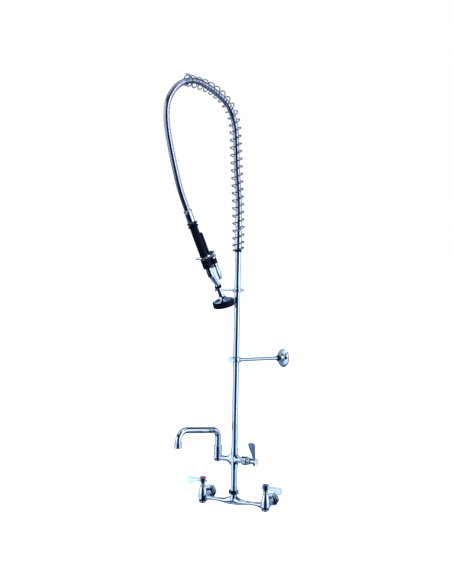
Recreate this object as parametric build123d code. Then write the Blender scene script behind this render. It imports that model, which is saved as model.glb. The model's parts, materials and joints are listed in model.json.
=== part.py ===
"""Wall-mounted pre-rinse faucet with an add-on faucet, inlets on 8 inch centres.

Millimetres, +Z up. The origin is on the wall plane, midway between the two inlets at the
height of their axes. +Y goes into the wall and +X is the cold side. The spray hose hangs in
a vertical plane, the loop plane, that passes through the riser and leans to the hot side.
"""
import os
from math import atan2, cos, degrees, hypot, pi, radians, sin, tan

from build123d import *

# Driving dimensions
inlet_spacing = 203.2          # 8 inch centres
wall_to_riser = 45.0           # from the wall plane to the riser and valve axes
pipe_radius = 8.55             # 3/8 inch pipe, 17.1 mm outside
pipe_bore = 6.3
bar_height = -11.5             # axis of the mixing bar, below the inlets
addon_height = 105.5           # axis of the add-on faucet's arm
riser_top = 700.0
loop_turn = 18.0               # the loop plane, degrees from straight out to the hot side
spout_turn = 14.0              # the spout at rest, degrees from straight out
spout_reach = 151.0
bracket_turn = 23.0            # the wall bracket at rest, degrees from square to the wall
bracket_height = 382.0
bracket_length = 166.0         # riser axis to the back of the wall flange
hook_height = 575.0
hook_turn = 9.5                # the hook lies this far beyond the loop plane
hose_radius = 8.0
spring_radius = 15.1           # to the centre of the wire
wire_radius = 1.5
running_gap = 0.08             # radial clearance of stems and pins

# Hose route in the loop plane: distance out from the riser, height
hose_route = [
    (0, 781), (0, 824), (10, 903), (14, 980), (19, 1030), (37, 1074), (75, 1105), (142, 1134),
    (182, 1136), (218, 1122), (245.3, 1094.3), (259, 1058), (256, 1008), (240, 945), (219, 874),
    (202, 829), (182, 789),
]
# Centreline of the spring in the same plane, and where along it each half turn ends
spring_route = [
    (0, 682.5), (1, 760), (6, 850), (12.7, 942), (15.8, 984), (19.5, 1022), (31, 1059), (58, 1091.5),
    (94, 1114), (142, 1128.5), (172, 1132.5), (203, 1136),
]
spring_foot = [0, 3.5, 11.5, 18.5, 27.2]
spring_pitch = 20.8
spring_open_turns = 25
spring_closing = [8, 15, 18.4, 21.8]

valve_x = inlet_spacing / 2
riser_axis = (0, -wall_to_riser)
loop_out = (-sin(radians(loop_turn)), -cos(radians(loop_turn)))
loop_side = (loop_out[1], -loop_out[0])

parts = {}


def turned(outline):
    """Solid of revolution about Z from (radius, height) points."""
    face = make_face(Polyline(*[(r, 0, z) for r, z in outline], close=True))
    return revolve(face, Axis.Z)


def cast_turned(outline, bottom, top):
    """Solid of revolution about Z with a smooth side through (radius, height) points."""
    side = Spline(*[(r, 0, z) for r, z in outline])
    first, last = outline[0], outline[-1]
    rest = Polyline((last[0], 0, last[1]), (0, 0, top), (0, 0, bottom), (first[0], 0, first[1]))
    return revolve(make_face(side + rest), Axis.Z)


def section_at(sections, along):
    """Section of a bar at one place, on smooth curves through its (x, low, high, depth) sections."""
    last = len(sections) - 1
    k = max(i for i in range(last) if sections[i][0] <= along)
    before, start = sections[max(k - 1, 0)], sections[k]
    end, after = sections[k + 1], sections[min(k + 2, last)]
    span = end[0] - start[0]
    t = (along - start[0]) / span
    values = [along]
    for i in (1, 2, 3):
        leave = (end[i] - before[i]) / (end[0] - before[0]) * span
        arrive = (after[i] - start[i]) / (after[0] - start[0]) * span
        from_start = (2 * t**3 - 3 * t**2 + 1) * start[i] + (t**3 - 2 * t**2 + t) * leave
        values.append(from_start + (3 * t**2 - 2 * t**3) * end[i] + (t**3 - t**2) * arrive)
    return values


def cast_bar(sections, spacing=4.0):
    """Smooth bar along X through (x, lowest z, highest z, half its depth) sections."""
    first, length = sections[0][0], sections[-1][0] - sections[0][0]
    steps = max(2, round(length / spacing))
    ellipses = []
    for i in range(steps + 1):
        x, low, high, half_depth = section_at(sections, first + length * i / steps)
        plane = Plane(origin=(x, 0, (low + high) / 2), x_dir=(0, 1, 0), z_dir=(1, 0, 0))
        ellipses.append(plane * Ellipse(half_depth, (high - low) / 2))
    return loft(ellipses)


def rod(radius, bottom, top):
    """Upright cylinder on the Z axis."""
    return Pos(0, 0, bottom) * Cylinder(radius, top - bottom, align=(Align.CENTER, Align.CENTER, Align.MIN))


def ring(outer, inner, bottom, top):
    """Upright tube on the Z axis."""
    return rod(outer, bottom, top) - rod(inner, bottom - 1, top + 1)


def hexagon(across_flats, bottom, top, turn=0):
    """Hexagonal prism on the Z axis, its corners taken off by a cone at both ends."""
    prism = extrude(Rot(0, 0, turn) * RegularPolygon(across_flats / 2, 6, major_radius=False), top - bottom)
    corner = across_flats / 2 / cos(radians(30))
    crown = turned([
        (0, bottom), (corner - 1.4, bottom), (corner, bottom + 0.9), (corner, top - 0.9),
        (corner - 1.4, top), (0, top),
    ])
    return (Pos(0, 0, bottom) * prism) & crown


def loop_point(out, height, side=0.0):
    """Point of the loop plane, or beside it, in the faucet's frame."""
    x = loop_out[0] * out + loop_side[0] * side
    y = loop_out[1] * out + loop_side[1] * side - wall_to_riser
    return Vector(x, y, height)


def loop_frame(out, height, lean):
    """Frame in the loop plane whose Z leans outward by the angle and X points to the riser."""
    up = (sin(radians(lean)), cos(radians(lean)))
    x_dir = (-up[1] * loop_out[0], -up[1] * loop_out[1], up[0])
    z_dir = (up[0] * loop_out[0], up[0] * loop_out[1], up[1])
    return Plane(origin=loop_point(out, height), x_dir=x_dir, z_dir=z_dir)


def arm_frame(turn_from_x, height):
    """Frame on the riser axis whose Z points level, at an angle from +X seen from above."""
    level = (cos(radians(turn_from_x)), sin(radians(turn_from_x)), 0)
    return Plane(origin=(*riser_axis, height), x_dir=(0, 0, 1), z_dir=level)


# Valves: a cartridge, its bonnet, and a stem that turns with the lever, on an axis along Z
cartridge_radius = 6.0
stem_radius = 2.5
lever_reach = 52.0
hub_base = 25.6
hub_top = 43.5


def valve_cartridge():
    body = turned([
        (0, -14), (4.5, -14), (cartridge_radius, -12.5), (cartridge_radius, 10),
        (6.9, 10), (6.9, 13.8), (0, 13.8),
    ])
    chamber = rod(4.6, -11, -6)
    stem_bore = rod(stem_radius + running_gap, -6.5, 15)
    port = Pos(0, 0, -8.5) * Rot(90, 0, 0) * Cylinder(2.2, 20)
    return body - chamber - stem_bore - port


def valve_bonnet(width=8.2):
    outline = [
        (3.5 + running_gap, 14), (6.9, 14), (6.9, 18.2), (width, 18.2), (width, 20.4), (width - 1, 22),
        (width - 1.2, 25.2), (3.5 + running_gap, 25.2),
    ]
    return turned(outline)


def valve_stem():
    outline = [
        (0, -10.6), (4.4, -10.6), (4.4, -6.6), (stem_radius, -6.6), (stem_radius, 14.5), (3.5, 14.5),
        (3.5, hub_base), (3.0, hub_base), (3.0, 40), (0, 40),
    ]
    return turned(outline) - rod(1.45, 31, 41)


blade_sections = [
    (5.0, 32.6, 41.2, 3.0), (12, 32.0, 41.6, 3.0), (22, 29.4, 42.0, 3.4), (32, 25.6, 42.4, 3.9),
    (40, 22.4, 42.6, 4.2), (46, 21.2, 42.2, 4.1), (50, 23.2, 40.4, 3.3), (lever_reach, 27.0, 36.6, 1.8),
]


def valve_lever():
    """Hub and paddle-shaped blade pointing along +X, its width upright and its top edge level."""
    hub = turned([
        (0, hub_base), (6.2, hub_base), (6.7, hub_base + 0.8), (7.3, 31), (9.1, 41), (9.4, 42.4),
        (8.9, hub_top), (0, hub_top),
    ])
    blade = cast_bar(blade_sections, 2.0)
    tail = cast_bar([(-13.4, 34.2, 38.4, 1.6), (-11, 33.2, 39.4, 2.2), (-4.5, 32.6, 40.6, 2.8)], 1.5)
    stem_hole = rod(3.0, hub_base - 1, 40)
    screw_hole = rod(1.6, 39, 42)
    cap_recess = rod(7.2, 41.2, hub_top + 1)
    return hub + blade + tail - stem_hole - screw_hole - cap_recess


def handle_screw():
    head = turned([(0, 41.3), (3.1, 41.3), (3.1, 42.2), (2.3, 42.9), (0, 42.9)])
    shank = rod(1.45, 32, 41.3)
    slot = Pos(0, 0, 42.7) * Box(5, 0.8, 0.8)
    return head + shank - slot


def index_cap():
    top = turned([
        (0, hub_top), (9.2, hub_top), (9.3, hub_top + 1.6), (8.4, hub_top + 2.9),
        (5.5, hub_top + 3.8), (0, hub_top + 4.1),
    ])
    plug = ring(7.1, 5.8, 42.0, hub_top)
    return top + plug


hot_frame = Pos(-valve_x, -wall_to_riser, 0) * Rot(0, 0, 180)
cold_frame = Pos(valve_x, -wall_to_riser, 0)
addon_valve_start = 26.5       # from the riser axis along the arm to the valve's own zero height
addon_frame = Location(Plane(origin=(addon_valve_start, -wall_to_riser, addon_height),
                             x_dir=(0, -sin(radians(8)), cos(radians(8))), z_dir=(1, 0, 0)))
valve_frames = {"hot": hot_frame, "cold": cold_frame, "addon": addon_frame}

valve_cavity = rod(cartridge_radius, -15, 10) + rod(6.9, 10, 19)
bonnet_widths = {"hot": 8.2, "cold": 8.2, "addon": 10.4}

parts["valve_cartridges"] = Compound([frame * valve_cartridge() for frame in valve_frames.values()])
parts["valve_bonnets"] = Compound([valve_frames[name] * valve_bonnet(w) for name, w in bonnet_widths.items()])
for name, frame in valve_frames.items():
    parts[f"{name}_stem"] = frame * valve_stem()
    parts[f"{name}_lever"] = frame * valve_lever()
    parts[f"{name}_handle_screw"] = frame * handle_screw()
    parts[f"{name}_index_cap"] = frame * index_cap()


# Base casting: mixing bar, centre hub, two valve barrels and two inlet stubs
stub_end = 33.6                # from the valve axis toward the wall
thread_start = 35.4
inlet_thread = 12.6

half_bar = [
    (8, -20.9, 5.0, 8.6), (12, -20.9, 2.8, 8.5), (18, -20.6, -0.4, 8.2), (27, -19.6, -4.0, 7.2),
    (41, -17.6, -5.6, 6.0), (60, -16.2, -5.6, 5.3), (74, -16.6, -5.4, 5.5), (83, -18.6, -4.2, 6.6),
    (90, -22.0, -1.6, 8.4), (96, -25.4, 2.6, 10.2), (valve_x, -27.0, 6.0, 10.8),
]
stub_sections = [
    (0, -27.0, 8.0, 11.0), (7, -26.5, 9.5, 11.2), (13, -23.6, 10.4, 11.0), (20, -18.5, 10.8, 10.8),
    (27.2, -13.2, 11.2, 11.2),
]
hub_side = [(7.2, -15.5), (9.4, -12.0), (10.4, -7.0), (10.5, -2.0), (10.2, 3.0), (9.7, 8.0), (9.6, 16.0)]
barrel_side = [
    (2.6, -28.9), (6.6, -28.0), (10.0, -24.0), (12.0, -18.0), (12.6, -11.0), (12.4, -3.0), (11.5, 4.0),
    (10.0, 11.0), (8.8, 18.0),
]


def inlet_stub():
    """Stub along +X, from the valve axis to the seat of the inlet washer."""
    along = Rot(0, 90, 0)
    return cast_bar(stub_sections) + along * rod(10.6, 24, 31) + along * rod(12.3, 31, stub_end)


def faucet_base():
    mirrored = [(-x, low, high, depth) for x, low, high, depth in reversed(half_bar)]
    bar = cast_bar(mirrored + [(0, -21.0, 5.6, 8.8)] + half_bar)
    body = bar + cast_turned(hub_side, -15.5, 16)
    toward_wall = Rot(0, 0, 90)
    for x in (-valve_x, valve_x):
        body += Pos(x, 0, 0) * cast_turned(barrel_side, -29.1, 18)
        body += Pos(x, 0, 0) * toward_wall * inlet_stub()
    for x in (-valve_x, valve_x):
        body -= Pos(x, 0, 0) * valve_cavity
        body -= Pos(x, 0, 0) * toward_wall * Rot(0, 90, 0) * rod(5.6, 0, stub_end + 1)
    body -= Pos(0, 0, bar_height) * Rot(0, 90, 0) * rod(3.4, -valve_x, valve_x)
    return body - rod(6.0, bar_height, 20)


def inlet_union_nut():
    """Captive nut along +Z: round shoulder, hexagon, and the thread that takes the supply."""
    shoulder = turned([(0, 27.8), (14.6, 27.8), (15.4, 28.6), (15.4, 33.6), (0, 33.6)])
    nut = shoulder + hexagon(33, 33.4, wall_to_riser)
    nut -= rod(11.3, 27, 31) + rod(12.4, 31, thread_start)
    nut -= rod(inlet_thread, thread_start, wall_to_riser + 1)
    return nut


parts["faucet_base"] = Pos(0, -wall_to_riser, 0) * faucet_base()
both_inlets = [Pos(x, -wall_to_riser, 0) * Rot(-90, 0, 0) for x in (-valve_x, valve_x)]
parts["inlet_union_nuts"] = Compound([frame * inlet_union_nut() for frame in both_inlets])
parts["inlet_washers"] = Compound([frame * ring(12.3, 6.6, stub_end, thread_start) for frame in both_inlets])

# Centre stack: washer, riser adapter, union nut and the nipple that carries the add-on faucet
on_riser = Pos(*riser_axis, 0)
parts["outlet_washer"] = on_riser * ring(9.2, 6.2, 16, 17.5)
parts["riser_adapter"] = on_riser * turned([
    (5.5, 17.5), (9.4, 17.5), (9.4, 19), (9.1, 19), (9.1, 34), (8.9, 34.6), (pipe_radius, 34.6),
    (pipe_radius, 24), (5.5, 24),
])
centre_nut = hexagon(24.5, 8.2, 20.2, turn=29) - rod(9.65, 8, 19.1) - rod(9.2, 18, 21)
parts["outlet_union_nut"] = on_riser * centre_nut
parts["lower_nipple"] = on_riser * ring(pipe_radius, pipe_bore, 24, 88)

# Add-on faucet: a cross-shaped casting on the riser, spout tower on the hot side
tower_x = -54.4
tower_bore = pipe_radius + running_gap
addon_socket_end = addon_valve_start + 9

addon_arm = [
    (tower_x - 4, -6.6, 6.6, 6.6), (tower_x + 4, -7.2, 7.2, 7.2),
    (-38, -7.4, 7.4, 7.4), (-28, -7.4, 7.6, 7.4),
    (-21, -8.4, 9.2, 7.8), (-15, -12.2, 13.4, 8.8), (-10, -18.0, 20.0, 9.6), (-5, -23.0, 25.0, 10.0),
    (0, -25.0, 27.0, 10.2), (5, -22.0, 23.0, 10.0), (10, -14.5, 15.0, 9.4), (15, -9.6, 9.6, 8.8),
    (20, -8.4, 8.4, 8.4), (addon_valve_start - 0.5, -8.2, 8.2, 8.2),
]


def addon_body():
    boss = cast_turned([(9.6, 76), (10.1, 86), (10.7, 105), (10.2, 124), (9.4, 136.5)], 76, 136.5)
    along_x = Pos(0, 0, addon_height) * Rot(0, 90, 0)
    socket = along_x * rod(7.9, 10, addon_socket_end)
    elbow = cast_turned([(2.5, 94.2), (7.6, 96.2), (10.8, 101.0), (11.7, 108.0), (11.9, 119.0)], 94, 119)
    tower = Pos(tower_x, 0, 0) * (elbow + rod(10.2, 118, 128))
    body = boss + Pos(0, 0, addon_height) * cast_bar(addon_arm) + socket + tower
    body -= rod(pipe_radius, 70, 88) + rod(pipe_radius, 123, 140) + rod(pipe_bore, 80, 130)
    body -= Pos(tower_x, 0, 0) * rod(tower_bore, 105, 130)
    body -= along_x * rod(4.0, tower_x, 20)
    return on_riser * body - addon_frame * valve_cavity


def addon_bonnet_nut():
    """Hexagon nut that holds the add-on valve's cartridge in its socket."""
    nut = hexagon(23.4, 0, 14)
    return nut - rod(7.9, -1, 9) - rod(6.9, 8, 15)


parts["addon_body"] = addon_body()
parts["addon_bonnet_nut"] = addon_frame * addon_bonnet_nut()

# Spout: swings in the tower, held by a nut over its collar
spout_axis = Pos(tower_x, -wall_to_riser, 0)
spout_frame = spout_axis * Rot(0, 0, -90 - spout_turn)
aerator_bottom = 144.7


def spout_tube():
    path = FilletPolyline(
        (0, 0, 108), (0, 0, 182), (spout_reach, 0, 194.3), (spout_reach, 0, 152), radius=[20, 29])
    outside = sweep(Plane(origin=(0, 0, 108), z_dir=(0, 0, 1)) * Circle(8.5), path=path)
    bore = sweep(Plane(origin=(0, 0, 108), z_dir=(0, 0, 1)) * Circle(6.6), path=path)
    grooves = ring(9, 7.5, 110.5, 113) + ring(9, 7.5, 116, 118.5)
    collar = ring(9.8, 8.0, 130.1, 131.9)
    return outside - bore - grooves + collar


def spout_seals():
    return Compound([Pos(0, 0, z) * Torus(8.05, 0.52) for z in (111.75, 117.25)])


def spout_nut():
    skirt = ring(11.9, 10.2, 122.2, 129.6)
    cover = turned([
        (8.5 + running_gap, 132.6), (8.5 + running_gap, 139.6), (10.6, 139.6), (11.9, 138.2), (11.9, 129.6),
        (10.0, 129.6), (10.0, 132.6),
    ])
    return skirt + cover


def aerator_shell():
    return turned([
        (8.5, 161.5), (9.6, 161.5), (10.4, 160.3), (10.4, aerator_bottom + 0.8), (9.8, aerator_bottom),
        (8.4, aerator_bottom), (8.4, 152), (8.5, 152),
    ])


def aerator_insert():
    disc = rod(8.3, aerator_bottom + 1.2, 151.4)
    for count, radius in ((6, 2.8), (12, 5.8)):
        for i in range(count):
            turn = 2 * pi * i / count
            disc -= Pos(radius * cos(turn), radius * sin(turn), 0) * rod(0.8, aerator_bottom, 152)
    return disc


parts["spout"] = spout_frame * spout_tube()
parts["spout_seals"] = spout_axis * spout_seals()
parts["spout_nut"] = spout_axis * spout_nut()
tip = spout_frame * Pos(spout_reach, 0, 0)
parts["aerator_shell"] = tip * aerator_shell()
parts["aerator_insert"] = tip * aerator_insert()

# Riser, and on its top the hose coupling inside the foot of the spring
parts["riser"] = on_riser * ring(pipe_radius, pipe_bore, 123, riser_top)
parts["spring_band"] = on_riser * ring(9.4, pipe_radius, 680.5, 688)
parts["riser_coupling"] = on_riser * turned([
    (pipe_radius, 688), (9.3, 688), (9.6, 689), (9.6, 737), (9.0, 739), (6.4, 739), (6.4, 730),
    (5.0, 730), (5.0, riser_top), (pipe_radius, riser_top),
])
parts["hose_lower_ferrule"] = on_riser * turned([
    (4.0, 731), (6.4, 731), (6.4, 739), (7.6, 741), (7.6, 748), (9.2, 750), (9.6, 751.5), (9.6, 774.5),
    (8.7, 776), (8.7, 778), (9.4, 779), (9.4, 781), (4.0, 781),
])


# Overhead spring: each turn is two half circles, across the plane from one side to the other
def spring_wire():
    guide = Spline(*[loop_point(*p) for p in spring_route])
    stations = list(spring_foot)
    for i in range(2 * spring_open_turns):
        stations.append(spring_foot[-1] + spring_pitch / 2 * (i + 1))
    stations += [stations[-1] + step for step in spring_closing]
    side = Vector(*loop_side, 0)
    corners = []
    for i, station in enumerate(stations):
        share = station / guide.length
        outward = (guide % share).cross(side).normalized()
        reach = spring_radius if i else 11.0
        corners.append(guide @ share + outward * (reach if i % 2 else -reach))
    arcs = []
    for i, (start, end) in enumerate(zip(corners, corners[1:])):
        bulge = side * ((end - start).length / 2 * (-1 if i % 2 else 1))
        arcs.append(Edge.make_three_point_arc(start, (start + end) / 2 + bulge, end))
    wire = Wire(arcs)
    section = Plane(origin=wire @ 0, z_dir=wire % 0) * Circle(wire_radius)
    coil = sweep(section, path=wire)
    print("spring: guide", round(guide.length), "used", round(stations[-1]))
    print("spring: wire length", round(wire.length), "volume", round(coil.volume))
    return coil


parts["spring"] = spring_wire()


# Hose: straight runs joined by tangent arcs
def hose_tube():
    points = [Vector(*p) for p in hose_route]
    runs = [b - a for a, b in zip(points, points[1:])]
    turns = [a.get_angle(b) for a, b in zip(runs, runs[1:])]
    radii = [
        0.45 * min(a.length, b.length) / tan(radians(turn) / 2)
        for a, b, turn in zip(runs, runs[1:], turns)
    ]
    print("hose: turns", [round(t, 1) for t in turns])
    print("hose: radii", [round(r) for r in radii], "limit", 5 * 2 * hose_radius)
    path = FilletPolyline(*[loop_point(*p) for p in hose_route], radius=radii)
    tube = sweep(Plane(origin=path @ 0, z_dir=path % 0) * Circle(hose_radius), path=path)
    print("hose: length", round(path.length), "volume", round(tube.volume),
          "section x length", round(path.length * pi * hose_radius ** 2))
    return tube


parts["hose"] = hose_tube()

# Wall bracket: clamp on the riser, rod, collar and flange
bracket = arm_frame(90 - bracket_turn, bracket_height).location


def bracket_clamp():
    eye = turned([(0, -8.6), (9.6, -8.6), (10.8, -6.4), (11.2, 0), (10.8, 6.4), (9.6, 8.6), (0, 8.6)])
    eye = Pos(*riser_axis, bracket_height) * eye
    socket = bracket * turned([(0, 5), (7.0, 5), (6.8, 12), (6.2, 15.4), (5.6, 16), (0, 16)])
    boss = bracket * rod(6.0, -11.6, -5)
    body = eye + socket + boss
    body -= Pos(*riser_axis, 0) * rod(pipe_radius + running_gap, bracket_height - 20, bracket_height + 20)
    body -= bracket * rod(4.76, 11, 24)
    return body - bracket * rod(2.6, -14, -6)


def bracket_knob():
    grip = turned([
        (0, -26.6), (1.5, -26.2), (2.2, -24.2), (6.2, -23.6),
        (9.2, -20.2), (9.2, -15.4), (6.4, -12.2), (0, -12.2),
    ])
    for i in range(8):
        turn = 2 * pi * i / 8
        grip -= Pos(11.2 * cos(turn), 11.2 * sin(turn), 0) * rod(2.7, -26, -12)
    return grip + rod(2.5, -12.4, -pipe_radius - 0.2)


flange_screw_turns = [radians(53 + 120 * i) for i in range(3)]


def wall_flange():
    back = bracket_length
    plate = turned([
        (0, back - 13), (7.4, back - 13), (8.2, back - 12), (9.0, back - 7.6), (12.5, back - 5.2),
        (22, back - 3.6), (25.2, back - 2.6), (26.3, back - 1.2), (26.3, back), (0, back),
    ])
    for turn in flange_screw_turns:
        plate -= Pos(19 * cos(turn), 19 * sin(turn), 0) * rod(2.4, back - 8, back + 1)
        plate -= Pos(19 * cos(turn), 19 * sin(turn), 0) * rod(4.6, back - 8, back - 2.8)
    return plate - rod(4.76, back - 14, back - 2)


def flange_screws():
    back = bracket_length
    screw = turned([
        (0, back - 6.0), (2.6, back - 5.8), (4.2, back - 4.8), (4.4, back - 2.8), (2.1, back - 2.8),
        (2.1, back + 5), (0, back + 7),
    ])
    screw -= Pos(0, 0, back - 6) * Box(7, 0.9, 1.8)
    return Compound([Pos(19 * cos(t), 19 * sin(t), 0) * screw for t in flange_screw_turns])


parts["bracket_clamp"] = bracket_clamp()
parts["bracket_knob"] = bracket * bracket_knob()
parts["bracket_rod"] = bracket * rod(4.76, 11, bracket_length - 2)
parts["bracket_lock_nut"] = bracket * (hexagon(15, 143, 149) - rod(4.76, 142, 150))
parts["wall_flange"] = bracket * wall_flange()
parts["flange_screws"] = bracket * flange_screws()

# Finger hook: a rod on a small clamp, beside the neck of the spray valve
hook_angle = degrees(atan2(loop_out[1], loop_out[0])) - hook_turn
hook = arm_frame(hook_angle, hook_height).location
hook_reach = 70.0


def hook_clamp():
    band = turned([(0, -5), (10.6, -5), (11.6, -3.6), (11.6, 3.6), (10.6, 5), (0, 5)])
    band = Pos(*riser_axis, hook_height) * band
    body = band + hook * rod(4.4, 6, 15) + hook * rod(3.8, -14.2, -6)
    body -= Pos(*riser_axis, 0) * rod(pipe_radius + running_gap, hook_height - 20, hook_height + 20)
    return body - hook * rod(2.75, 11, 16) - hook * rod(1.6, -16, -6)


parts["hook_clamp"] = hook_clamp()
parts["hook_rod"] = hook * (rod(2.75, 11, hook_reach) + Pos(0, 0, hook_reach) * Sphere(3.6))
parts["hook_screw"] = hook * (rod(1.5, -16, -pipe_radius - 0.2) + Pos(0, 0, -18) * Sphere(3.4))

# Spray valve, in a frame at the end of the hose: Z up along the grip, X toward the riser
end, before_end = Vector(*hose_route[-1]), Vector(*hose_route[-2])
grip_lean = degrees(atan2(before_end.X - end.X, before_end.Y - end.Y))
spray = loop_frame(end.X, end.Y, grip_lean).location
grip_radius = 11.0
valve_side = 23.5              # from the grip's axis to the axis of the plunger
neck_side = 9.1                # from the grip's axis to the axis of the outlet neck
pivot_x, pivot_z = 30.5, -138.0
ring_pivot_z = -145.5

parts["hose_upper_ferrule"] = spray * turned([
    (4.0, 0), (9.6, 0), (11.2, -1), (11.2, -4), (10.2, -5), (10.6, -6.5), (10.6, -31), (9.4, -34.5),
    (6.6, -34.5), (6.6, -48), (4.0, -48),
])
parts["handle_tube"] = spray * (ring(8.0, 5.0, -146, -36) - rod(6.6, -48, -35))


def spray_grip():
    sleeve = turned([
        (8.0, -36), (13.0, -36), (14.2, -37), (14.2, -39), (10.8, -40.2), (10.8, -44), (14.2, -45.4),
        (14.2, -47.6), (grip_radius, -50), (grip_radius, -134), (10.2, -137), (8.0, -137),
    ])
    for i in range(12):
        turn = 2 * pi * (i + 0.5) / 12
        sleeve -= Pos(11.3 * cos(turn), 11.3 * sin(turn), 0) * rod(0.8, -130, -56)
    return sleeve


def valve_body():
    """Casting that carries the plunger beside the grip and leads to the neck."""
    upper = rod(9.0, -180, -142)
    lower = rod(9.5, -195, -178)
    outlet = loft([
        Plane(origin=(0, 0, -191)) * Circle(9.2),
        Plane(origin=(neck_side, 0, -226)) * Circle(6.4),
    ])
    chamber = Pos(valve_side, 0, 0) * cast_turned([
        (3.0, -217), (7.0, -214), (9.0, -207), (9.6, -197), (9.6, -172)], -217.2, -172)
    web_outline = Polyline(
        (0, -176), (valve_side, -176), (valve_side, -206), (13, -212), (neck_side, -212), (0, -196),
        close=True)
    web = extrude(Plane.XZ * make_face(web_outline), 6.4, both=True)
    body = upper + lower + outlet + chamber + web
    body -= rod(8.0, -146.2, -141) + rod(5.0, -186, -140)
    body -= Pos(valve_side, 0, 0) * rod(5.8, -204, -171)
    body -= Pos(0, 0, -182) * Rot(0, 90, 0) * rod(3.2, 0, valve_side)
    body -= Pos(0, 0, -198) * Rot(0, 90, 0) * rod(3.0, 7, valve_side)
    return body - Pos(neck_side, 0, 0) * rod(3.6, -230, -196)


def valve_cap():
    """Bonnet screwed over the plunger, with the ears that hold lever and ring."""
    cap = Pos(valve_side, 0, 0) * turned([
        (0, -172), (9.8, -172), (9.8, -155), (9.2, -150), (7.4, -146.2), (5.0, -144.8), (0, -144.8)])
    spigot = Pos(valve_side, 0, 0) * rod(5.8, -178, -172)
    cheek = extrude(Plane.XZ * make_face(Polyline(
        (pivot_x - 4.5, -156), (pivot_x - 4.5, -137), (pivot_x - 2.5, -134),
        (pivot_x + 2.5, -134), (pivot_x + 4, -137),
        (pivot_x + 4, -149), (pivot_x - 1, -156), close=True)), 2.4)
    ears = Pos(0, -4.6, 0) * cheek + Pos(0, 7.0, 0) * cheek
    bar = Pos(pivot_x - 3.0, 0, -152) * Box(4, 14, 6)
    body = cap + spigot + ears + bar
    bore = Pos(valve_side, 0, 0) * (rod(3.0 + running_gap, -180, -140) + rod(4.6, -180, -166))
    pin_hole = Pos(pivot_x, 0, pivot_z) * Rot(90, 0, 0) * Cylinder(1.5, 30)
    ring_hole = Pos(pivot_x, 0, ring_pivot_z) * Rot(90, 0, 0) * Cylinder(1.3 + running_gap, 30)
    return body - bore - pin_hole - ring_hole


def plunger():
    stem = turned([
        (0, -141.2), (2.2, -141.4), (3.0, -142.6), (3.0, -184), (5.3, -184), (5.3, -190), (2.0, -190),
        (2.0, -194), (0, -194),
    ])
    return Pos(valve_side, 0, 0) * stem


def plunger_spring():
    coils = Helix(pitch=2.6, height=7.8, radius=3.9, center=(valve_side, 0, -202.6))
    section = Plane(origin=coils @ 0, z_dir=coils % 0) * Circle(0.5)
    return sweep(section, path=coils, is_frenet=True)


def squeeze_lever():
    """Blade beside the grip and a foot that reaches over the plunger to the pivot."""
    outline = Polyline(
        (15.6, -76), (16.4, -72), (18.2, -74), (18.6, -84), (18.2, -128), (21, -133.5),
        (pivot_x - 3, -134.4), (pivot_x + 2, -134.6), (pivot_x + 3.4, pivot_z), (pivot_x + 1, -141),
        (pivot_x - 3, -140.6), (19, -140.4), (15.4, -136), (14.8, -128), (15.2, -84), close=True)
    blade = extrude(Plane.XZ * make_face(outline), 4.2, both=True)
    ribs = Compound([Pos(18.9, 0, z) * Box(1.0, 9, 1.6) for z in range(-122, -82, 6)])
    return blade - ribs - Pos(pivot_x, 0, pivot_z) * Rot(90, 0, 0) * Cylinder(1.5 + running_gap, 20)


def lever_pivot():
    shank = Pos(pivot_x, 0, pivot_z) * Rot(90, 0, 0) * Cylinder(1.5, 16)
    head = Pos(pivot_x, -8.9, pivot_z) * Rot(90, 0, 0) * Cylinder(2.8, 1.8)
    nut = Pos(pivot_x, 8.6, pivot_z) * Rot(90, 0, 0) * Cylinder(2.6, 1.6)
    return shank + head + nut


def hold_ring():
    """Oval of wire round the grip, its far side a bar through the ears."""
    length, half_width, tilt = 56.0, 16.0, 12.0
    corners = [
        (0, -4), (0, -half_width), (-length, -half_width), (-length, half_width), (0, half_width), (0, 4)]
    outline = FilletPolyline(*corners, radius=[6, 15.5, 15.5, 6]) + Line((0, 4), (0, -4))
    wire = Wire(outline.edges())
    oval = sweep(Plane(origin=(0, 0, 0), z_dir=(0, 1, 0)) * Circle(1.3), path=wire)
    return Pos(pivot_x, 0, ring_pivot_z) * Rot(0, tilt, 0) * oval


def body_sleeve():
    """Moulded collar round the casting, with a band round the plunger's bonnet."""
    at_plunger = Pos(valve_side, 0, 0)
    collar = rod(13.7, -169, -143) + at_plunger * rod(10.6, -168, -153)
    return collar - rod(9.0, -175, -140) - at_plunger * rod(9.8, -175, -140)


parts["spray_grip"] = spray * spray_grip()
parts["spray_valve_body"] = spray * valve_body()
parts["spray_body_sleeve"] = spray * body_sleeve()
parts["spray_valve_cap"] = spray * valve_cap()
parts["plunger"] = spray * plunger()
parts["plunger_spring"] = spray * plunger_spring()
parts["squeeze_lever"] = spray * squeeze_lever()
parts["lever_pivot"] = spray * lever_pivot()
parts["hold_ring"] = spray * hold_ring()

# Spray head on its neck, tilted back toward level
neck_bottom = -262.0
head = loop_frame(49.0, 540.0, 17.4).location


def spray_neck():
    tube = turned([
        (3.6, -226), (6.0, -226), (6.0, -236), (6.4, -246), (7.2, -256),
        (7.6, neck_bottom), (3.6, neck_bottom)])
    return Pos(neck_side, 0, 0) * tube


def spray_shell():
    """Dished cover above the face, with a collar that takes the neck."""
    dish = turned([
        (0, 3.4), (27.6, 3.4), (28.0, 6), (26.4, 9.4), (19, 12.6),
        (11.5, 14.8), (10.4, 17.2), (8.6, 20.5), (0, 20.5)])
    hollow = turned([(0, 2), (25.6, 2), (24.8, 8.4), (17, 11), (6, 12.8), (0, 12.8)])
    return dish - hollow


def spray_face():
    plate = rod(25.4, -7.0, -4.2)
    for count, radius in ((6, 7.5), (12, 14), (16, 20.5)):
        for i in range(count):
            turn = 2 * pi * i / count
            plate -= Pos(radius * cos(turn), radius * sin(turn), 0) * rod(1.1, -8, -3)
    return plate - rod(2.2, -8, -3)


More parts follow.
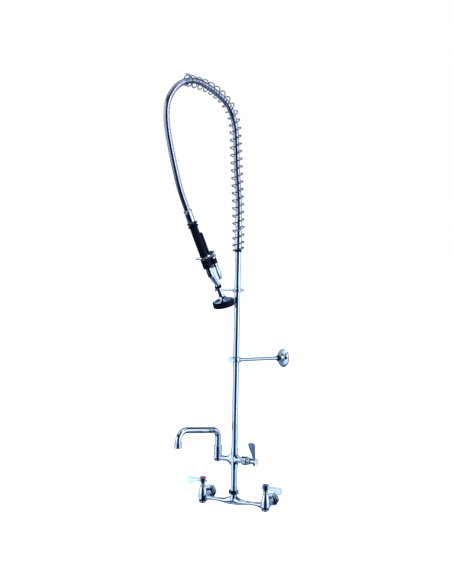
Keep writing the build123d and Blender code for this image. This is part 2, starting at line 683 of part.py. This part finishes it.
def face_screw():
    post = rod(2.2, -7.0, 12.8)
    cap = turned([(0, -9.2), (3.0, -9.0), (4.4, -8.0), (4.6, -7.0), (0, -7.0)])
    return post + cap - Pos(0, 0, -9.2) * Box(7, 1.0, 1.6)


neck = spray * spray_neck()
parts["neck_nut"] = spray * Pos(neck_side, 0, 0) * (hexagon(17, -236, -227.5, turn=29) - rod(6.0, -240, -220))
parts["spray_neck"] = neck
neck_core = spray * Pos(neck_side, 0, 0) * rod(3.6, neck_bottom - 12, -230)
parts["spray_shell"] = head * spray_shell() - neck - neck_core
parts["spray_face"] = head * spray_face()
parts["face_screw"] = head * face_screw()
parts["spray_bumper"] = head * turned([
    (25.4, -8.6), (28.6, -8.6), (30.2, -7.2), (30.6, -4), (30.6, 5), (29.8, 8), (28.0, 8.6), (28.0, 3.4),
    (25.4, 3.4),
])

os.makedirs("parts", exist_ok=True)
for name, shape in parts.items():
    export_step(shape, f"parts/{name}.step")
print(len(parts), "nodes")
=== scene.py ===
"""Looks of a wall-mounted pre-rinse faucet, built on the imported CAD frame. Metres, +Z up."""
import json
from math import cos, radians, sin

import bmesh
import bpy
from mathutils import Matrix, Vector


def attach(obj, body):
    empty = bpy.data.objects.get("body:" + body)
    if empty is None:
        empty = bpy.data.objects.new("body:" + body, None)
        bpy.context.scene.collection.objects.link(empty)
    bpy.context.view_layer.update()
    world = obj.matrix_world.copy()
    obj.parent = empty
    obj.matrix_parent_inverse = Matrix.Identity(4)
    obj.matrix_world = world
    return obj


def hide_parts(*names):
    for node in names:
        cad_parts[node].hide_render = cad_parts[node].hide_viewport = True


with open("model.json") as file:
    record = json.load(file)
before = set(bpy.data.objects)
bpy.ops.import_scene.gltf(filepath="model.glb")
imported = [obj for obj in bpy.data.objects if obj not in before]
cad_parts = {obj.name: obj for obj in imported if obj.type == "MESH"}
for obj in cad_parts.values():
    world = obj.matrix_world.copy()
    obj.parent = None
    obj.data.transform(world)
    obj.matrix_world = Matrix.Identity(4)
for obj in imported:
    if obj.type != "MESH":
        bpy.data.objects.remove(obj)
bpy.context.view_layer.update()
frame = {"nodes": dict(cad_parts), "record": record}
nodes = frame["nodes"]

# Dimensions shared with the CAD model
WALL_TO_RISER = 0.045
VALVE_X = 0.1016
ADDON_VALVE_START = 0.0265       # from the riser axis along X to that valve's own zero height
ADDON_HEIGHT = 0.1055
ADDON_LEVER_TILT = radians(8)
LOOP_TURN = radians(18)
HOSE_DIAMETER = 0.016
# The hose's route in its plane: out from the riser and up, in mm, as loop_point turns to metres
HOSE_ROUTE = [
    (0, 781), (0, 824), (10, 903), (14, 980), (19, 1030), (37, 1074), (75, 1105), (142, 1134),
    (182, 1136), (218, 1122), (245.3, 1094.3), (259, 1058), (256, 1008), (240, 945), (219, 874),
    (202, 829), (182, 789),
]

# Camera
CAMERA_AZIMUTH = radians(31)
CAMERA_PITCH = radians(1.9)
CAMERA_YAW = radians(-0.51)
CAMERA_ROLL = radians(1.05)
CAMERA_DISTANCE = 3.54
CAMERA_HEIGHT = 0.687
CAMERA_LENS = 79.0


def make_camera():
    """Camera in front and to the right of the riser, turned by its yaw, pitch and roll."""
    back = Vector((sin(CAMERA_AZIMUTH), -cos(CAMERA_AZIMUTH), 0))
    level_right = Vector((cos(CAMERA_AZIMUTH), sin(CAMERA_AZIMUTH), 0))
    forward = -back * cos(CAMERA_YAW) + level_right * sin(CAMERA_YAW)
    side = forward.cross(Vector((0, 0, 1)))
    forward = forward * cos(CAMERA_PITCH) - Vector((0, 0, 1)) * sin(CAMERA_PITCH)
    up = side.cross(forward)
    right = side * cos(CAMERA_ROLL) + up * sin(CAMERA_ROLL)
    up = up * cos(CAMERA_ROLL) - side * sin(CAMERA_ROLL)
    place = Matrix((right, up, -forward)).transposed().to_4x4()
    place.translation = Vector((0, -WALL_TO_RISER, CAMERA_HEIGHT)) + back * CAMERA_DISTANCE
    data = bpy.data.cameras.new("camera")
    data.lens = CAMERA_LENS
    data.sensor_width = 36
    camera = bpy.data.objects.new("camera", data)
    camera.matrix_world = place
    bpy.context.scene.collection.objects.link(camera)
    bpy.context.scene.camera = camera


make_camera()


def loop_point(out, height):
    """Point of the loop plane, given in millimetres out from the riser and up."""
    sideways, forward = -sin(LOOP_TURN) * out, -cos(LOOP_TURN) * out
    return Vector((sideways, forward - WALL_TO_RISER * 1000, height)) / 1000


def make_hose():
    """Braided hose as one smooth curve; each point carries the radius, so the curve's box is true."""
    curve = bpy.data.curves.new("braided_hose", "CURVE")
    curve.dimensions = "3D"
    curve.bevel_depth = 1.0
    curve.bevel_resolution = 8
    curve.use_fill_caps = True
    curve.resolution_u = 16
    spline = curve.splines.new("NURBS")
    spline.points.add(len(HOSE_ROUTE) - 1)
    for point, (out, height) in zip(spline.points, HOSE_ROUTE):
        point.co = (*loop_point(out, height), 1)
        point.radius = HOSE_DIAMETER / 2
    spline.order_u = 3
    spline.use_endpoint_u = True
    hose = bpy.data.objects.new("braided_hose", curve)
    bpy.context.scene.collection.objects.link(hose)
    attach(hose, "faucet")
    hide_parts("hose")
    return hose


hose = make_hose()

# Blades of the levers, each under a thin shell coloured with a painted reflection of the chrome blade:
# along the blade, lowest, highest and half thickness, in mm
BLADE = [
    (5.0, 32.6, 41.2, 3.0), (12, 32.0, 41.6, 3.0), (22, 29.4, 42.0, 3.4), (32, 25.6, 42.4, 3.9),
    (40, 22.4, 42.6, 4.2), (46, 21.2, 42.2, 4.1), (50, 23.2, 40.4, 3.3), (52, 27.0, 36.6, 1.8),
]
SHELL_THICKNESS = 0.25
SHELL_START = 11.5
BLADE_END = 52.0
BLADE_END_MARGIN = 0.02          # the last section lies just before the blade's end
SHELL_STEPS = 40
SHELL_SIDES = 32
SHELL_TIP = [(0.75, 0.18), (0.4, 0.25)]   # share of the section's size, and distance past the end


def blade_section(along):
    """Lowest, highest and half thickness of the blade at a place along it, smoothly between sections."""
    last = len(BLADE) - 2
    k = min(last, max(i for i in range(last + 1) if BLADE[i][0] <= along))
    before, start = BLADE[max(k - 1, 0)], BLADE[k]
    end, after = BLADE[k + 1], BLADE[min(k + 2, last + 1)]
    span = end[0] - start[0]
    t = (along - start[0]) / span
    values = []
    for i in (1, 2, 3):
        leave = (end[i] - before[i]) / (end[0] - before[0]) * span
        arrive = (after[i] - start[i]) / (after[0] - start[0]) * span
        value = (2 * t**3 - 3 * t**2 + 1) * start[i] + (t**3 - 2 * t**2 + t) * leave
        values.append(value + (3 * t**2 - 2 * t**3) * end[i] + (t**3 - t**2) * arrive)
    return values


def shell_loop(shape, along, middle, tall, half):
    """Ring of vertices round the blade, given in mm, half its height and half its thickness."""
    loop = []
    for i in range(SHELL_SIDES):
        turn = radians(360 * i / SHELL_SIDES)
        point = Vector((along, half * cos(turn), middle + tall * sin(turn))) / 1000
        loop.append(shape.verts.new(point))
    return loop


def make_painted_reflection_shell(name, body, place):
    """Thin shell over a lever's blade, carrying the painted reflection of the chrome blade, open at the
    hub end and closed round the tip.
    """
    shape = bmesh.new()
    loops = []
    last_section = BLADE_END - BLADE_END_MARGIN
    for i in range(SHELL_STEPS + 1):
        along = SHELL_START + (last_section - SHELL_START) * i / SHELL_STEPS
        low, high, half = blade_section(along)
        tall, middle = (high - low) / 2 + SHELL_THICKNESS, (high + low) / 2
        loops.append(shell_loop(shape, along, middle, tall, half + SHELL_THICKNESS))
    for share, out in SHELL_TIP:
        loops.append(shell_loop(shape, BLADE_END + out, middle, tall * share, half * share))
    for inner, outer in zip(loops, loops[1:]):
        for j in range(SHELL_SIDES):
            shape.faces.new((inner[j], inner[j - 1], outer[j - 1], outer[j])).smooth = True
    shape.faces.new(reversed(loops[-1])).smooth = True
    bmesh.ops.recalc_face_normals(shape, faces=shape.faces)
    shape.transform(place)
    mesh = bpy.data.meshes.new(name)
    shape.to_mesh(mesh)
    shape.free()
    coat = bpy.data.objects.new(name, mesh)
    bpy.context.scene.collection.objects.link(coat)
    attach(coat, body)
    return coat


tilt = ADDON_LEVER_TILT
addon_axes = Matrix((
    (0, 0, 1),
    (-sin(tilt), -cos(tilt), 0),
    (cos(tilt), -sin(tilt), 0),
)).to_4x4()
half_turn = Matrix.Rotation(radians(180), 4, "Z")
lever_places = {
    "hot": Matrix.Translation((-VALVE_X, -WALL_TO_RISER, 0)) @ half_turn,
    "cold": Matrix.Translation((VALVE_X, -WALL_TO_RISER, 0)),
    "addon": Matrix.Translation((ADDON_VALVE_START, -WALL_TO_RISER, ADDON_HEIGHT)) @ addon_axes,
}
# Each lever's blade gets a shell whose colour is a painted reflection of the studio on chrome
painted_reflection_shells = {
    side: make_painted_reflection_shell(side + "_blade_painted_reflection", side + "_valve", place)
    for side, place in lever_places.items()
}


# Materials
CHROME = (0.78, 0.83, 0.89)
NIGHT_BLUE = (0.45, 0.6, 1.0)
RELIEF_DISTANCE = 0.0004
BRAID_RELIEF_DISTANCE = 0.0003
BRAID_RELIEF = 0.35
BRAID_ALONG = 90               # strands' crossings along the hose
BRAID_ROUND = 6                # and round it


def add_relief(tree, links, shader, height, strength, distance):
    """Bump from a height socket into the shader's normal."""
    relief = tree.new("ShaderNodeBump")
    relief.inputs["Strength"].default_value = strength
    relief.inputs["Distance"].default_value = distance
    links.new(height, relief.inputs["Height"])
    links.new(relief.outputs["Normal"], shader.inputs["Normal"])


def finish_material(name, color, metallic, roughness, grain, bump, bump_scale,
                    coat=0.0, specular=0.5, tint=(1, 1, 1)):
    """Surface whose roughness varies from low to high with a fine grain, over a gentle bump."""
    material = bpy.data.materials.new(name)
    material.use_nodes = True
    tree, links = material.node_tree.nodes, material.node_tree.links
    shader = tree["Principled BSDF"]
    shader.inputs["Base Color"].default_value = (*color, 1)
    shader.inputs["Metallic"].default_value = metallic
    shader.inputs["Coat Weight"].default_value = coat
    shader.inputs["Specular IOR Level"].default_value = specular
    shader.inputs["Specular Tint"].default_value = (*tint, 1)
    place = tree.new("ShaderNodeTexCoord")
    noise = tree.new("ShaderNodeTexNoise")
    noise.inputs["Scale"].default_value = grain
    noise.inputs["Detail"].default_value = 4
    links.new(place.outputs["Object"], noise.inputs["Vector"])
    spread = tree.new("ShaderNodeMapRange")
    spread.inputs["To Min"].default_value, spread.inputs["To Max"].default_value = roughness
    links.new(noise.outputs["Fac"], spread.inputs["Value"])
    links.new(spread.outputs["Result"], shader.inputs["Roughness"])
    wave = tree.new("ShaderNodeTexNoise")
    wave.inputs["Scale"].default_value = bump_scale
    links.new(place.outputs["Object"], wave.inputs["Vector"])
    add_relief(tree, links, shader, wave.outputs["Fac"], bump, RELIEF_DISTANCE)
    return material


def braid_material():
    """Close stainless braid: two sets of strands that cross, along and round the hose."""
    material = finish_material("steel_hose", (0.48, 0.49, 0.60), 1, (0.12, 0.24), 700, 0.0, 900)
    tree, links = material.node_tree.nodes, material.node_tree.links
    place = tree.new("ShaderNodeTexCoord")
    strands = []
    for lean in (1, -1):
        turned = tree.new("ShaderNodeMapping")
        turned.inputs["Scale"].default_value = (BRAID_ALONG, lean * BRAID_ROUND, 1)
        links.new(place.outputs["UV"], turned.inputs["Vector"])
        wave = tree.new("ShaderNodeTexWave")
        wave.bands_direction = "DIAGONAL"
        wave.inputs["Scale"].default_value = 1.0
        links.new(turned.outputs["Vector"], wave.inputs["Vector"])
        strands.append(wave)
    cross = tree.new("ShaderNodeMath")
    cross.operation = "MAXIMUM"
    for socket, wave in zip(cross.inputs, strands):
        links.new(wave.outputs["Fac"], socket)
    add_relief(tree, links, tree["Principled BSDF"], cross.outputs["Value"],
               BRAID_RELIEF, BRAID_RELIEF_DISTANCE)
    return material


# Slot: colour, metallic, lowest and highest roughness, grain, bump, bump scale, then any coat
# weight, specular level and specular tint
FINISHES = {
    "chrome": (CHROME, 1, (0.03, 0.09), 400, 0.12, 60),
    "bright_chrome": (CHROME, 1, (0.02, 0.06), 500, 0.06, 90),
    "spring_steel": ((0.30, 0.34, 0.48), 1, (0.05, 0.12), 700, 0.1, 200),
    # Painted reflection: the three lever coat colours stand in for chrome blades reflecting the studio.
    # They are pale cyan on hot and cold, the cold one a little darker, and dark navy on the add-on
    "hot_lever_coat": ((0.60, 0.76, 0.82), 0.1, (0.08, 0.16), 300, 0.05, 80, 0.6),
    "cold_lever_coat": ((0.50, 0.65, 0.72), 0.1, (0.08, 0.16), 300, 0.05, 80, 0.6),
    "addon_lever_coat": ((0.07, 0.125, 0.24), 0.1, (0.1, 0.2), 300, 0.05, 80, 0.5),
    "hot_index": ((0.55, 0.03, 0.16), 0, (0.1, 0.2), 500, 0.05, 200, 0.6),
    "cold_index": ((0.06, 0.07, 0.27), 0, (0.1, 0.2), 500, 0.05, 200, 0.6),
    "addon_index": ((0.5, 0.55, 0.65), 0, (0.1, 0.2), 500, 0.05, 200, 0.6),
    "black_rubber": ((0.002, 0.003, 0.008), 0, (0.08, 0.14), 900, 0.15, 1200, 0, 0.12, NIGHT_BLUE),
    "black_plastic": ((0.002, 0.003, 0.010), 0, (0.07, 0.13), 700, 0.1, 900, 0, 0.14, NIGHT_BLUE),
    "navy_lever": ((0.003, 0.005, 0.020), 0, (0.08, 0.16), 700, 0.1, 900, 0, 0.25, NIGHT_BLUE),
    "knob_plastic": ((0.5, 0.68, 0.86), 0, (0.1, 0.2), 600, 0.05, 300, 0.5),
    "screw_steel": ((0.5, 0.52, 0.57), 1, (0.2, 0.35), 900, 0.1, 900),
    "brass": ((0.7, 0.52, 0.26), 1, (0.15, 0.3), 900, 0.1, 700),
    "washer_rubber": ((0.01, 0.01, 0.015), 0, (0.4, 0.6), 900, 0.1, 900, 0, 0.2),
    "pale_plastic": ((0.8, 0.84, 0.9), 0, (0.3, 0.4), 900, 0.05, 500),
    "grey_face": ((0.12, 0.13, 0.16), 0, (0.35, 0.5), 900, 0.1, 900),
}
materials = {name: finish_material(name, *finish) for name, finish in FINISHES.items()}
materials["steel_hose"] = braid_material()

for part in frame["record"]["subparts"]:
    material = materials[part["material_slot"]]
    mesh = nodes[part["node"]].data
    mesh.materials.clear()
    mesh.materials.append(material)
hose.data.materials.append(materials["steel_hose"])
# The lever shells take the painted-reflection colours
for side, coat in painted_reflection_shells.items():
    coat.data.materials.append(materials[side + "_lever_coat"])


# Floor and world
FLOOR_REACH = 400.0              # so far that its edge is never seen
FLOOR_HEIGHT = -0.6              # the faucet hangs on a wall above it


def make_floor():
    """Plain white floor that glows a little, so that it stays white in every view."""
    mesh = bpy.data.meshes.new("floor")
    corners = [
        (x * FLOOR_REACH, y * FLOOR_REACH, FLOOR_HEIGHT)
        for x, y in ((-1, -1), (1, -1), (1, 1), (-1, 1))
    ]
    mesh.from_pydata(corners, [], [(0, 1, 2, 3)])
    floor = bpy.data.objects.new("floor", mesh)
    bpy.context.scene.collection.objects.link(floor)
    material = finish_material("floor_white", (0.95, 0.95, 0.95), 0, (0.7, 0.8), 20, 0.0, 20)
    shader = material.node_tree.nodes["Principled BSDF"]
    shader.inputs["Emission Color"].default_value = (1, 1, 1, 1)
    shader.inputs["Emission Strength"].default_value = 1.0
    mesh.materials.append(material)
    floor.visible_glossy = False


make_floor()

# Colour of the studio by the angle from straight behind the camera, level, in degrees
ROUND_THE_OBJECT = [
    (0, (0.002, 0.008, 0.025)), (29, (0.003, 0.010, 0.03)), (37, (0.26, 0.38, 0.54)),
    (47, (0.80, 0.92, 1.0)), (86, (0.95, 0.99, 1.0)), (102, (0.42, 0.53, 0.66)),
    (118, (0.14, 0.21, 0.34)), (150, (0.28, 0.38, 0.54)), (168, (0.14, 0.22, 0.38)),
    (180, (0.05, 0.09, 0.2)),
]
# The same by the angle above the horizon
BY_HEIGHT = [
    (-90, (0.16, 0.24, 0.38)), (-54, (0.46, 0.58, 0.76)), (-44, (0.02, 0.04, 0.09)),
    (-27, (0.02, 0.04, 0.09)), (-18, (0.66, 0.76, 0.88)), (-5, (0.60, 0.71, 0.84)),
    (3, (1.0, 1.0, 1.0)), (24, (1.0, 1.0, 1.0)), (32, (0.03, 0.05, 0.11)),
    (44, (0.02, 0.04, 0.09)), (54, (1.0, 1.0, 1.0)), (90, (0.9, 0.95, 1.0)),
]
STUDIO_STRENGTH = 1.4


def fill_ramp(ramp, stops):
    """Set a colour ramp's stops from (place from 0 to 1, colour) pairs."""
    elements = ramp.color_ramp.elements
    while len(elements) > 1:
        elements.remove(elements[-1])
    elements[0].position = stops[0][0]
    elements[0].color = (*stops[0][1], 1)
    for place, color in stops[1:]:
        elements.new(place).color = (*color, 1)


def make_world():
    """White for the camera; round and above the object, white cloths with dark gaps."""
    world = bpy.data.worlds.new("studio")
    bpy.context.scene.world = world
    world.use_nodes = True
    tree, links = world.node_tree.nodes, world.node_tree.links
    studio = tree["Background"]
    studio.inputs["Strength"].default_value = STUDIO_STRENGTH
    place = tree.new("ShaderNodeTexCoord")
    level = tree.new("ShaderNodeVectorMath")
    level.operation = "MULTIPLY"
    level.inputs[1].default_value = (1, 1, 0)
    unit = tree.new("ShaderNodeVectorMath")
    unit.operation = "NORMALIZE"
    toward_camera = tree.new("ShaderNodeVectorMath")
    toward_camera.operation = "DOT_PRODUCT"
    toward_camera.inputs[1].default_value = (sin(CAMERA_AZIMUTH), -cos(CAMERA_AZIMUTH), 0)
    links.new(place.outputs["Generated"], level.inputs[0])
    links.new(level.outputs["Vector"], unit.inputs[0])
    links.new(unit.outputs["Vector"], toward_camera.inputs[0])
    angle = tree.new("ShaderNodeMath")
    angle.operation = "ARCCOSINE"
    links.new(toward_camera.outputs["Value"], angle.inputs[0])
    around = tree.new("ShaderNodeMath")
    around.operation = "DIVIDE"
    around.inputs[1].default_value = radians(180)
    links.new(angle.outputs["Value"], around.inputs[0])
    around_ramp = tree.new("ShaderNodeValToRGB")
    fill_ramp(around_ramp, [(turn / 180, color) for turn, color in ROUND_THE_OBJECT])
    links.new(around.outputs["Value"], around_ramp.inputs["Fac"])
    height = tree.new("ShaderNodeSeparateXYZ")
    links.new(place.outputs["Generated"], height.inputs["Vector"])
    upward = tree.new("ShaderNodeMapRange")
    upward.inputs["From Min"].default_value = -1
    links.new(height.outputs["Z"], upward.inputs["Value"])
    height_ramp = tree.new("ShaderNodeValToRGB")
    fill_ramp(height_ramp, [((sin(radians(up)) + 1) / 2, color) for up, color in BY_HEIGHT])
    links.new(upward.outputs["Result"], height_ramp.inputs["Fac"])
    both = tree.new("ShaderNodeMix")
    both.data_type = "RGBA"
    both.blend_type = "MULTIPLY"
    both.inputs["Factor"].default_value = 1
    links.new(around_ramp.outputs["Color"], both.inputs["A"])
    links.new(height_ramp.outputs["Color"], both.inputs["B"])
    links.new(both.outputs["Result"], studio.inputs["Color"])
    backdrop = tree.new("ShaderNodeBackground")
    backdrop.inputs["Color"].default_value = (1, 1, 1, 1)
    seen = tree.new("ShaderNodeLightPath")
    choose = tree.new("ShaderNodeMixShader")
    links.new(seen.outputs["Is Camera Ray"], choose.inputs["Fac"])
    links.new(studio.outputs["Background"], choose.inputs[1])
    links.new(backdrop.outputs["Background"], choose.inputs[2])
    links.new(choose.outputs["Shader"], tree["World Output"].inputs["Surface"])


make_world()


FAUCET_MIDDLE = Vector((0, 0, 0.6))


def make_light(name, place, width, height, power, reflected=False):
    """Soft rectangular light aimed at the middle of the faucet."""
    data = bpy.data.lights.new(name, "AREA")
    data.shape = "RECTANGLE"
    data.size = width
    data.size_y = height
    data.energy = power
    light = bpy.data.objects.new(name, data)
    light.location = place
    toward_faucet = FAUCET_MIDDLE - Vector(place)
    light.rotation_euler = toward_faucet.to_track_quat("-Z", "Y").to_euler()
    light.visible_glossy = reflected
    bpy.context.scene.collection.objects.link(light)


make_light("key_light", (-2.2, -2.4, 2.6), 2.0, 2.0, 60)
make_light("fill_light", (2.8, -1.2, 1.4), 2.0, 2.0, 30)
make_light("strip_light", (3.0, 0.0, 1.15), 0.14, 2.8, 8, reflected=True)
bpy.context.scene.view_settings.view_transform = "Standard"
